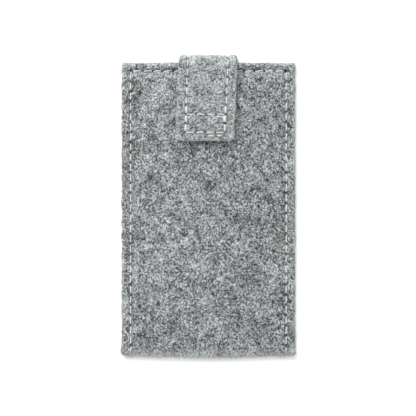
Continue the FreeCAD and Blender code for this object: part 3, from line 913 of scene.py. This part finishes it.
def make_pouch():
    """The pouch's one sheet of felt, drawn in at its seams."""
    x, s = np.meshgrid(pouch_columns(), pouch_rows())
    seams = [*side_runs(SEAM_X), *side_runs(-SEAM_X), HEM_FRONT, HEM_BACK]
    depth, shade = drawn_in(seams, x, s)
    base = pouch_point(x, s)
    normal = POUCH.normals(x, s)
    lumps = 0.045 * pouch_lumps(x, s) * np.where(s < BACK_END, 0.3, 1.0)
    outer = base + normal * (lumps - depth)[..., None]
    inner = base - normal * POUCH_INNER
    # painted highlight on the bottom fold, the cut edges and the band below the mouth seam
    pale = painted_pouch_highlight(x, s)
    flat = np.dstack([x, s])
    made = felt_slab("pouch_felt_body", POUCH_FELT, outer, inner, flat, shade, pale, 0.35, 21)
    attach(made, "pouch")
    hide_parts("pouch_body")


def pouch_seam(name, needle, bobbin, seed):
    """The needle and the bobbin thread of one pouch seam, each from one line."""
    fixed_thread(f"{name}_needle_stitches", [needle], f"{name}_needle_thread", seed, "pouch")
    fixed_thread(f"{name}_bobbin_stitches", [bobbin], f"{name}_bobbin_thread", seed + 1, "pouch")


def make_pouch_seams():
    """The side seams through both panels, and the mouth seam of each panel."""
    for side, x in (("left", -SEAM_X), ("right", SEAM_X)):
        front, back = side_runs(x)
        needle = stitched(front, POUCH, seed=31, thick=0.27)
        pouch_seam(f"{side}_side", needle, stitched(back, POUCH, seed=32), 5)
    for side, run in (("front", HEM_FRONT), ("back", HEM_BACK)):
        end = MOUTH_SEAM_X - run.pitch
        within = Run("x", run.at, -end, end, HEM_STITCHES - 2)
        bobbin = stitched(within, POUCH, under=POUCH_INNER, seed=34)
        pouch_seam(f"{side}_mouth", stitched(run, POUCH, seed=33), bobbin, 7)


# -------- the strap


def strap_columns():
    """Places across the strap, closer together near its edge seams."""
    near = STRAP_SEAM_X + np.array([-0.7, -0.35, 0.0, 0.35, 0.7, 1.2, 1.8, 2.5, 3.2, 3.9, 4.4, 4.7])
    middle = np.linspace(-STRAP_SEAM_X + 1.2, STRAP_SEAM_X - 1.2, 37)
    return np.concatenate([-near[::-1], middle, near])


def strap_rows(start, end, seams):
    """Even rows along the strap, with closer ones at its cross seams."""
    rows = list(np.linspace(start, end, int(round((end - start) / STRAP_ROW_STEP)) + 1))
    for at in seams:
        rows += [at - 0.3, at, at + 0.3]
    return np.array(sorted(rows))


STRAP_SEAMS = [*TAB_BOX, *ANCHOR_BOX]
for seam_x in (-STRAP_SEAM_X, STRAP_SEAM_X):
    STRAP_SEAMS += strap_edge_runs(seam_x)
DIMPLE_X = 0.6
DIMPLE_S = strap_s(62.0, True)


def strap_piece(name, rows, seed):
    """One half of the strap's felt, drawn in at its seams."""
    x, s = np.meshgrid(strap_columns(), rows)
    depth, shade = drawn_in(STRAP_SEAMS, x, s)
    dimple = np.exp(-((x - DIMPLE_X) ** 2 / 1.1**2 + (s - DIMPLE_S) ** 2 / 0.7**2))
    depth = depth + 0.3 * dimple
    # painted shade in the small dent on the tab
    shade = np.maximum(shade, 0.5 * dimple)
    base = strap_point(x, s)
    normal = STRAP.normals(x, s)
    lumps = 0.04 * strap_lumps(x, s) * smoothstep(np.abs(s - RISER_S), 0, 2)
    outer = base + normal * (lumps - depth)[..., None]
    inner = base - normal * STRAP_INNER
    # painted highlight on the strap's bend over the mouth and along its cut edges
    bend = 0.9 * np.exp(-(((s - RISER_S - 4) / 7) ** 2))
    cut = np.exp(-(((STRAP_HALF - np.abs(x)) / 0.9) ** 2))
    pale = np.maximum(bend, cut)
    flat = np.dstack([x, s + STRAP_SHEET_START])
    made = felt_slab(name, STRAP_FELT, outer, inner, flat, shade, pale, 0.3, seed)
    return made


def blend_back(made):
    """Bakes the placement of a piece of the strap's half between the pouch and the bridge into its mesh.
    """
    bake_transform(made)


def blend_front(made):
    """Bakes the placement of a piece of the strap's half between the bridge and the tab into its mesh.
    """
    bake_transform(made)


def make_strap():
    """The strap's felt in two halves, which meet where it passes over the mouth."""
    back_rows = strap_rows(0.3, RISER_S, [ANCHOR_FOOT, ANCHOR_TOP])
    back = strap_piece("strap_felt_back", back_rows, 22)
    blend_back(back)
    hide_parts("strap_anchor", "strap_bridge")
    front_rows = strap_rows(RISER_S, STRAP_LENGTH - 0.3, [BOX_TOP, BOX_FOOT])
    front = strap_piece("strap_felt_front", front_rows, 23)
    blend_front(front)
    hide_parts("strap_tab", "strap_bridge")


def make_strap_seams():
    """The edge seams of the strap's halves, each with its needle and bobbin thread."""
    seams = [
        ("back", "anchor", "needle", 0.0, THREAD_RADIUS),
        ("back", "anchor", "bobbin", FELT, THREAD_RADIUS),
        ("front", "tab", "needle", 0.0, 0.28),
        ("front", "tab", "bobbin", FELT, THREAD_RADIUS),
    ]
    for k, (half, part, thread, under, thick) in enumerate(seams):
        lines = []
        for seed, x in ((41, -STRAP_SEAM_X), (42, STRAP_SEAM_X)):
            back, front = strap_edge_runs(x)
            run = back if half == "back" else front
            lines.append(stitched(run, STRAP, under=under, seed=seed + 2 * k, thick=thick))
        nodes = [f"{part}_edge_{thread}_thread", f"bridge_edge_{thread}_thread"]
        made = thread_piece(f"strap_edge_{half}_{thread}", lines, nodes, 9 + k)
        if half == "back":
            blend_back(made)
        else:
            blend_front(made)


def backtack_lines():
    """Extra stitches at the tab's box: two short rows, a second pass down both sides, and a knot."""
    x = STRAP_SEAM_X
    lines = []
    for row, start, count in ((BOX_TOP + 1.3, x - 6, 1), (BOX_FOOT + 1.8, x - 10, 2)):
        again = Run("x", row, start, x - 0.8, count)
        lines.append(stitched(again, STRAP, seed=67, thick=0.27))
    start = BOX_TOP - BOX_LENGTH / BOX_SIDE_STITCHES
    for side, inward in ((-x, 0.45), (x, -0.45)):
        again = Run("s", side, start, BOX_FOOT, BOX_SIDE_STITCHES + 1)
        lines.append(stitched(again, STRAP, aside=inward, seed=61, thick=0.33))
    knot = Run("s", x - 1.0, BOX_TOP + 0.3, BOX_TOP + 4.6, 1)
    lines.append(stitched(knot, STRAP, slant=1.1, seed=64))
    lines.append(stitched(knot, STRAP, slant=0.5, seed=65))
    lines.append(stitched(knot, STRAP, slant=-0.2, aside=0.5, seed=66))
    return lines


def box_lines(runs, cloth, seed, **how):
    """The thread lines of a box seam, with a seed of its own for each side."""
    return [stitched(run, cloth, seed=seed + k, **how) for k, run in enumerate(runs)]


def make_box_seams():
    """The box seams that hold the strap's two ends."""
    tape_thick = HOOK_HIGH[2] - HOOK_LOW[2]
    needle = box_lines(TAB_BOX, STRAP, 51) + backtack_lines()
    bobbin = box_lines(TAB_BOX, STRAP, 71, under=FELT + tape_thick - 0.3)
    fixed_thread("tab_box_needle_stitches", needle, "hook_patch_needle_thread", 13, "tab")
    fixed_thread("tab_box_bobbin_stitches", bobbin, "hook_patch_bobbin_thread", 14, "tab")
    needle = box_lines(ANCHOR_BOX, STRAP, 81)
    bobbin = box_lines(ANCHOR_BOX, STRAP, 91, under=2 * FELT + 0.4)
    fixed_thread("anchor_box_needle_stitches", needle, "anchor_box_needle_thread", 15, "pouch")
    fixed_thread("anchor_box_bobbin_stitches", bobbin, "anchor_box_bobbin_thread", 16, "pouch")


# -------- hook and loop patches


def loop_top(x, y):
    """The loop tape's upper face, which follows the dome of the front."""
    return front_height(x, y) + LOOP_THICK


def loop_point(x, s):
    """Places the pouch's flat points on the loop tape."""
    y = FOLD + s - FRONT_START
    return np.stack([x, y, loop_top(x, y)], -1)


def make_loop_seam():
    """The box seam that holds the loop patch on the front panel."""
    low, high = node_box("loop_patch_needle_thread")
    top = front_s(high[1] - THREAD_RADIUS)
    foot = front_s(low[1] + THREAD_RADIUS)
    box = box_runs(top, foot, BOX_SIDE_STITCHES, BOX_END_STITCHES, x=high[0] - THREAD_RADIUS, sink=-0.05)
    needle = box_lines(box, Cloth(loop_point, 1), 101, thick=0.25)
    bobbin = box_lines(box, POUCH, 111, under=POUCH_INNER)
    fixed_thread("loop_box_needle_stitches", needle, "loop_patch_needle_thread", 17, "pouch")
    fixed_thread("loop_box_bobbin_stitches", bobbin, "loop_patch_bobbin_thread", 18, "pouch")


def hook_face(x, y):
    """The hook tape's lower face, which follows the tab's underside."""
    on_tab = LINE_S > RISER_S + 12
    s = np.interp(-y, -LINE_Y[on_tab], LINE_S[on_tab])
    return strap_point(x, s)[..., 2] - STRAP_INNER - HOOK_THICK


def tape(name, material, low, high, face, thickness, skew):
    """A thin tape with rounded edges, one face on a function and the other a thickness above it."""
    x, y = np.meshgrid(np.linspace(low[0], high[0], 40), np.linspace(low[1], high[1], 22))
    z = face(x, y)
    outer = np.dstack([x + skew, y, z])
    inner = np.dstack([x + skew, y, z + thickness])
    plain = np.zeros(x.shape)
    return felt_slab(name, material, outer, inner, np.dstack([x, y]), plain, plain, 0.08, 24)


def loop_shape(draw):
    """A small arch of thread in a random direction, as offsets from its foot."""
    angle = draw.uniform(0, 2 * math.pi)
    span = draw.uniform(0.35, 0.8)
    rise = draw.uniform(0.15, 0.32)
    turn = np.linspace(0, math.pi, 7)
    reach = span * (1 - np.cos(turn)) / 2
    lift = rise * np.sin(turn) - 0.05
    return np.stack([reach * math.cos(angle), reach * math.sin(angle), lift], -1)


def make_loop_patch():
    """The loop tape with its pile."""
    thickness = -(LOOP_THICK + LOOP_SUNK)
    base = tape("loop_tape", LOOP_TAPE, LOOP_LOW, LOOP_HIGH, loop_top, thickness, 0.0)
    draw = random.Random(101)
    feet, shapes = [], []
    for _ in range(LOOP_COUNT):
        x = draw.uniform(LOOP_LOW[0] + 0.5, LOOP_HIGH[0] - 0.5)
        y = draw.uniform(LOOP_LOW[1] + 0.4, LOOP_HIGH[1] - 0.4)
        shapes.append(loop_shape(draw))
        feet.append((x, y, float(loop_top(np.array(x), np.array(y)))))
    pile = new_object("loop_pile", LOOP_TAPE, *bent_hairs(feet, shapes, 0.045))
    for made in (base, pile):
        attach(made, "pouch")
        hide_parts("loop_patch")


def hook_shape(way):
    """A short hanging stem that ends in a crook to one side, as offsets from its foot."""
    turn = np.linspace(0, math.radians(210), 7)[1:]
    stem = [(0, 0, 0.05), (0, 0, -HOOK_STEM)]
    aside = way * HOOK_BEND * (1 - np.cos(turn))
    down = HOOK_STEM + HOOK_BEND * np.sin(turn)
    return np.vstack([stem, np.column_stack([0 * turn, aside, -down])])


def make_hook_patch():
    """The hook tape with its rows of hooks."""
    base = tape("hook_tape", HOOK_TAPE, HOOK_LOW, HOOK_HIGH, hook_face, HOOK_THICK, PATCH_SKEW)
    feet, shapes = [], []
    across = np.linspace(HOOK_LOW[0] + 1.0, HOOK_HIGH[0] - 1.0, HOOK_COLUMNS)
    along = np.linspace(HOOK_LOW[1] + 0.9, HOOK_HIGH[1] - 0.9, HOOK_ROWS)
    for j, y in enumerate(along):
        for x in across:
            feet.append((x + PATCH_SKEW, y, float(hook_face(np.array(x), np.array(y)))))
            shapes.append(hook_shape(1 if j % 2 else -1))
    hooks = new_object("hook_field", HOOK_TAPE, *bent_hairs(feet, shapes, 0.06))
    for made in (base, hooks):
        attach(made, "tab")
        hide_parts("hook_patch")


# -------- loose fibres


class FibreField:
    """Feet, directions and lengths of the loose fibres of a felt sheet."""

    def __init__(self, cloth, seed):
        self.cloth = cloth
        self.draw = np.random.RandomState(seed)
        self.feet = []
        self.ways = []
        self.lengths = []

    def add_edge(self, x, s, way, longest):
        """Fibres out of a cut edge, with feet inside the felt's thickness."""
        x, s = np.broadcast_arrays(x, s)
        depth = self.draw.uniform(0.15, FELT - 0.2, len(x))[:, None]
        self.feet.append(self.cloth.place(x, s) - self.cloth.normals(x, s) * depth)
        self.ways.append(np.tile(way, (len(x), 1)))
        self.lengths.append(self.draw.uniform(0.3, longest, len(x)))

    def add_face(self, x, s, lying, shortest, longest):
        """Fibres on the outer face, which lie any way or stand up."""
        normal = self.cloth.normals(x, s)
        any_way = self.draw.normal(0, 1.0, (len(x), 3))
        self.feet.append(self.cloth.place(x, s) - normal * 0.1)
        self.ways.append(normal * 0.5 + any_way if lying else normal)
        self.lengths.append(self.draw.uniform(shortest, longest, len(x)))


def stray_fibres(name, field, seed):
    """One piece with a short curved fibre at each foot of a field, kept above the floor."""
    draw = np.random.RandomState(seed)
    share = np.array([0.0, 0.5, 1.0])
    sides = 3
    feet = np.concatenate(field.feet)
    shapes = []
    for foot, way, length in zip(feet, np.concatenate(field.ways), np.concatenate(field.lengths)):
        lean = unit(way + draw.normal(0, 0.55, 3))
        bend = np.cross(lean, draw.normal(0, 1, 3))
        shape = length * (np.outer(share, lean) + np.outer(share**2, bend) * 0.45)
        shape[:, 2] = np.maximum(shape[:, 2], FLOOR_CLEAR - foot[2])
        shapes.append(shape)
    made = new_object(name, FIBRE, *bent_hairs(feet, shapes, FIBRE_RADIUS, sides))
    mark(made, "pale", np.repeat(draw.uniform(0, 1, len(feet)), len(share) * sides))
    return made


def make_pouch_fibres():
    """Fibres on the pouch's cut edges, on its bottom fold and on its front."""
    field = FibreField(POUCH, 301)
    draw = field.draw
    for side in (-1, 1):
        s = draw.uniform(0, SHEET_LENGTH, SIDE_FIBRES)
        field.add_edge(side * (HALF_WIDTH - 0.15), s, way=(side, 0, 0), longest=1.0)
    for end in (0.2, SHEET_LENGTH - 0.2):
        x = draw.uniform(-HALF_WIDTH, HALF_WIDTH, MOUTH_FIBRES)
        field.add_edge(x, end, way=(0, 1, 0), longest=1.0)
    reach = HALF_WIDTH - 0.5
    x = draw.uniform(-reach, reach, FOLD_FIBRES)
    s = draw.uniform(BACK_END + 2, FRONT_START + 1, FOLD_FIBRES)
    field.add_face(x, s, lying=False, shortest=0.4, longest=2.2)
    x = draw.uniform(-reach, reach, FRONT_FIBRES)
    s = draw.uniform(FRONT_START, SHEET_LENGTH, FRONT_FIBRES)
    field.add_face(x, s, lying=True, shortest=0.5, longest=1.6)
    made = stray_fibres("pouch_fibres", field, 302)
    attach(made, "pouch")


def strap_fibres(name, low, high, end, seed):
    """Fibres on one half of the strap: on both long edges, on the cut end and on the face."""
    field = FibreField(STRAP, seed)
    draw = field.draw
    count = int((high - low) * STRAP_EDGE_FIBRES_PER_MM)
    for side in (-1, 1):
        s = draw.uniform(low, high, count)
        field.add_edge(side * (STRAP_HALF - 0.15), s, way=(side, 0, 0), longest=0.9)
    x = draw.uniform(-STRAP_HALF, STRAP_HALF, STRAP_END_FIBRES)
    field.add_edge(x, end, way=(0, -1, 0), longest=0.9)
    x = draw.uniform(-STRAP_HALF + 0.5, STRAP_HALF - 0.5, STRAP_FIBRES)
    s = draw.uniform(low, high, STRAP_FIBRES)
    field.add_face(x, s, lying=True, shortest=0.4, longest=1.3)
    made = stray_fibres(name, field, seed)
    return made


def make_strap_fibres():
    blend_back(strap_fibres("strap_fibres_back", 0.5, RISER_S, 0.5, 303))
    end = STRAP_LENGTH - 0.5
    blend_front(strap_fibres("strap_fibres_front", RISER_S, end, end, 304))


# -------- floor, light and camera


def make_floor():
    """A pale table top, just below the lowest stitches."""
    material, tree, shader = new_tree("white_table")
    looks = {
        "Base Color": (0.9, 0.9, 0.9, 1),
        "Roughness": 0.9,
        "Specular IOR Level": 0.1,
        "Emission Color": (1, 1, 1, 1),
        "Emission Strength": 0.25,
    }
    feed(tree, shader, looks)
    reach = 2500
    corners = [(-reach, -reach), (reach, -reach), (reach, reach), (-reach, reach)]
    points = [(x, y, FLOOR_LEVEL) for x, y in corners]
    floor = new_object("floor", material, points, [(0, 1, 2, 3)], smooth=False)


def soft_sun(name, azimuth, elevation, spread, strength):
    """Soft light. Azimuth is from +Y towards +X, elevation above the table, both in degrees."""
    data = bpy.data.lights.new(name, "SUN")
    data.angle = math.radians(spread)
    data.energy = strength
    made = bpy.data.objects.new(name, data)
    made.rotation_euler = (math.radians(elevation - 90), 0, math.radians(-azimuth))
    bpy.context.scene.collection.objects.link(made)


def make_light():
    """Three soft suns and a white sky."""
    soft_sun("key_light", azimuth=-28, elevation=43, spread=42, strength=3.25)
    soft_sun("fill_light", azimuth=180, elevation=7, spread=40, strength=1.9)
    soft_sun("side_light", azimuth=90, elevation=12, spread=40, strength=0.45)
    world = bpy.data.worlds.new("studio")
    world.use_nodes = True
    sky = {"Color": (1, 1, 1, 1), "Strength": 0.5}
    feed(world.node_tree, world.node_tree.nodes["Background"], sky)
    bpy.context.scene.world = world
    bpy.context.scene.view_settings.view_transform = "Standard"


def make_camera():
    """A long lens straight above the pouch."""
    height = 3.0
    frame_width = 0.2278
    sensor_width = 36
    data = bpy.data.cameras.new("camera")
    data.sensor_width = sensor_width
    data.lens = sensor_width * height / frame_width
    made = bpy.data.objects.new("camera", data)
    made.location = (-0.0002, -0.0015, height + 0.004)
    bpy.context.scene.collection.objects.link(made)
    bpy.context.scene.camera = made


make_pouch()
make_pouch_seams()
make_strap()
make_strap_seams()
make_box_seams()
make_loop_patch()
make_loop_seam()
make_hook_patch()
make_pouch_fibres()
make_strap_fibres()
make_floor()
make_light()
make_camera()
